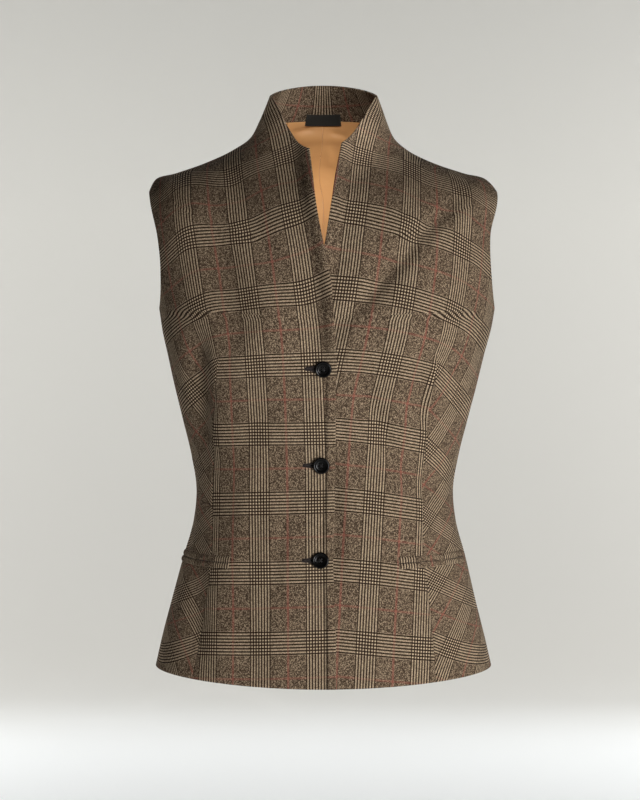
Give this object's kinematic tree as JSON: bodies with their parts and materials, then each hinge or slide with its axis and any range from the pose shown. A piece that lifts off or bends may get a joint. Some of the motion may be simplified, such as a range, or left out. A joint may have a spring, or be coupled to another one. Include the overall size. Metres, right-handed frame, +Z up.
{
  "type": "suit waistcoat",
  "caption": "Women's sleeveless checked wool suit waistcoat with a grown-on stand collar, narrow V neck, buttoned front, jetted pockets and lined back, holding its worn shape.",
  "frame": {"origin": "between the shoulders, level with the middle of the shoulder seams, where the wearer holds the garment up", "axes": "+Z up from hem to collar, -Y out of the front, +X to the wearer's left"},
  "size_m": [0.3784, 0.2359, 0.6541],
  "materials": {
    "check_cloth": "brown and beige checked wool suiting, dry and lightly napped",
    "lining": "golden tan satin lining with a soft sheen",
    "label": "bare black woven tape",
    "button": "glossy black horn-like buttons",
    "thread": "black buttonhole twist"
  },
  "bodies": {
    "root": {"front_right": "check_cloth", "front_left": "check_cloth", "back_right": "check_cloth", "back_left": "check_cloth", "collar_facing": "check_cloth", "lining_back_right": "lining", "lining_back_left": "lining", "neck_label": "label", "pocket_right_upper_lip": "check_cloth", "pocket_right_lower_lip": "check_cloth", "pocket_left_upper_lip": "check_cloth", "pocket_left_lower_lip": "check_cloth", "button_top": "button", "button_middle": "button", "button_bottom": "button", "button_top_shank": "thread", "button_middle_shank": "thread", "button_bottom_shank": "thread"}
  },
  "joints": []
}
